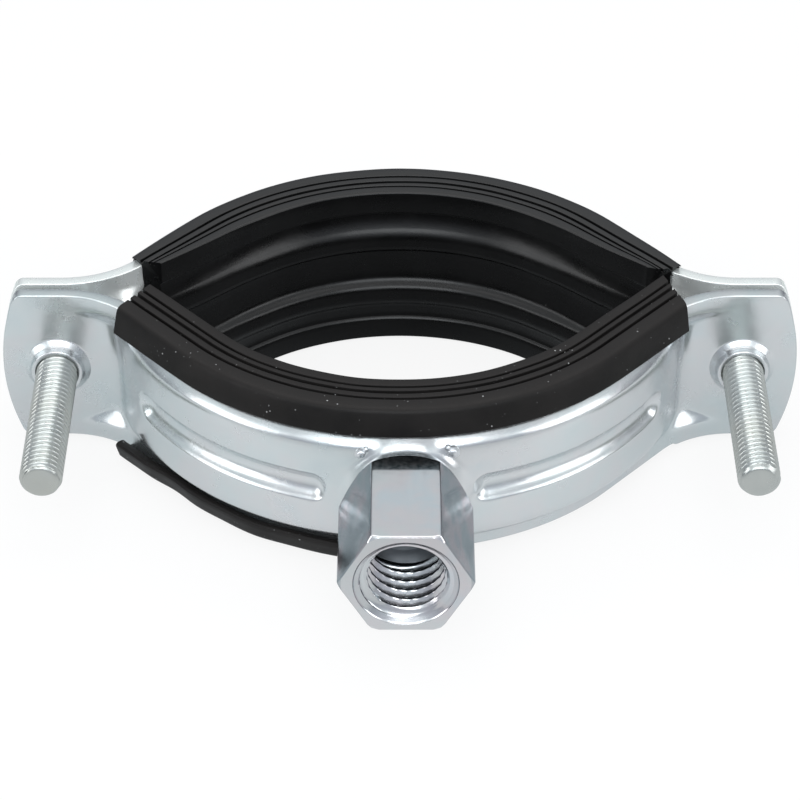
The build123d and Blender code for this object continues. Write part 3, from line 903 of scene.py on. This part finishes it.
def floor_material():
    """Pale and matt, white to the camera, and in mirrored rays a glow of painted studio floor tones."""
    mat = bpy.data.materials.new("floor_white")
    mat.use_nodes = True
    nodes, links = mat.node_tree.nodes, mat.node_tree.links
    base = nodes["Principled BSDF"]
    base.inputs["Base Color"].default_value = (0.9, 0.9, 0.9, 1)
    base.inputs["Roughness"].default_value = 0.9
    glow = nodes.new("ShaderNodeEmission")
    glow.inputs["Strength"].default_value = 1.0
    position = nodes.new("ShaderNodeNewGeometry").outputs["Position"]
    y = axis_node(nodes, links, position, "Y")
    # painted reflection: in mirrored rays the floor glows lightest a little in front and dark behind
    tints = tint_ramp(
        (0.0, 0.24, 0.36, 0.53, 0.9),
        (0.48, 0.50, 0.51),
        (0.56, 0.58, 0.59),
        (0.80, 0.82, 0.84),
        (0.56, 0.60, 0.62),
        (0.16, 0.18, 0.21),
    )
    mirrored = ramp_node(nodes, links, range_node(nodes, links, y, -0.12, 0.12, 0, 1), tints)
    # painted shade: the floor's glow in mirrored rays is dark within the pipe opening, for the clamp's
    # shadow
    away = nodes.new("ShaderNodeVectorMath")
    away.operation = "LENGTH"
    links.new(position, away.inputs[0])
    outside = range_node(nodes, links, away.outputs["Value"], 0.019, 0.028, 0, 1)
    mirrored = mix_node(nodes, links, outside, (0.05, 0.055, 0.06), mirrored)
    seen = nodes.new("ShaderNodeLightPath").outputs["Is Camera Ray"]
    links.new(mix_node(nodes, links, seen, mirrored, (1.0, 1.0, 1.0)), glow.inputs["Color"])
    share = white_if_seen(nodes, links, 0.86, 0.8)
    surface = blend_shaders(nodes, links, share, base.outputs["BSDF"], glow.outputs["Emission"])
    links.new(surface, nodes["Material Output"].inputs["Surface"])
    return mat


def studio_world():
    """A grey studio, brightest some way up and toward the viewer, and white to the camera."""
    world = bpy.data.worlds.new("studio")
    world.use_nodes = True
    nodes, links = world.node_tree.nodes, world.node_tree.links
    background = nodes["Background"]
    background.inputs["Strength"].default_value = 1.0
    seen = nodes.new("ShaderNodeBackground")
    seen.inputs["Color"].default_value = (1, 1, 1, 1)
    direction = nodes.new("ShaderNodeTexCoord").outputs["Generated"]
    height_tints = tint_ramp(
        (0.0, 0.35, 0.6, 0.95),
        (0.10, 0.11, 0.13),
        (0.30, 0.32, 0.35),
        (0.70, 0.75, 0.77),
        (0.42, 0.43, 0.44),
    )
    high = ramp_node(nodes, links, axis_node(nodes, links, direction, "Z"), height_tints)
    ahead_tints = tint_ramp(
        (0.45, 0.8, 1.0),
        (0.0, 0.0, 0.0),
        (0.16, 0.17, 0.19),
        (0.30, 0.32, 0.35),
    )
    ahead = range_node(nodes, links, axis_node(nodes, links, direction, "Y"), 1, -1, 0, 1)
    ahead = ramp_node(nodes, links, ahead, ahead_tints)
    sky = mix_node(nodes, links, 1.0, high, ahead, "ADD")
    links.new(sky, background.inputs["Color"])
    share = white_if_seen(nodes, links, 1.0)
    surface = blend_shaders(
        nodes, links, share, background.outputs["Background"], seen.outputs["Background"]
    )
    links.new(surface, nodes["World Output"].inputs["Surface"])
    return world


def softbox(name, place, size, power, colour=(1, 1, 1)):
    """A rectangular area lamp that points at the origin."""
    light = bpy.data.lights.new(name, "AREA")
    light.shape = "RECTANGLE"
    light.size, light.size_y = size
    light.energy = power
    light.color = colour
    obj = bpy.data.objects.new(name, light)
    obj.location = place
    obj.rotation_euler = (-Vector(place)).to_track_quat("-Z", "Y").to_euler()
    bpy.context.scene.collection.objects.link(obj)


FLOOR_Z = -0.0109
bpy.ops.mesh.primitive_plane_add(size=6.0, location=(0, 0, FLOOR_Z))
floor = bpy.context.object
floor.name = "floor"
floor.data.materials.append(floor_material())
bpy.context.scene.world = studio_world()

softbox("top_box", (0.0, 0.10, 0.55), (0.7, 0.5), 1.35)
softbox("left_box", (-0.55, -0.25, 0.22), (0.35, 0.35), 0.8)
softbox("right_box", (0.55, -0.25, 0.22), (0.35, 0.35), 0.8)
softbox("front_box", (-0.01, -0.52, 0.46), (0.6, 0.36), 1.7, (0.94, 0.975, 1.0))

# fitted to the photo by least squares
CAMERA_ELEVATION = 36.5
camera_data = bpy.data.cameras.new("camera")
camera_data.sensor_width = 36.0
camera_data.lens = 136.0
camera = bpy.data.objects.new("camera", camera_data)
camera.location = (0.0, -0.2900, 0.2082)
camera.rotation_euler = (math.radians(90 - CAMERA_ELEVATION), 0, 0)
bpy.context.scene.collection.objects.link(camera)
bpy.context.scene.camera = camera
bpy.context.scene.view_settings.view_transform = "Standard"
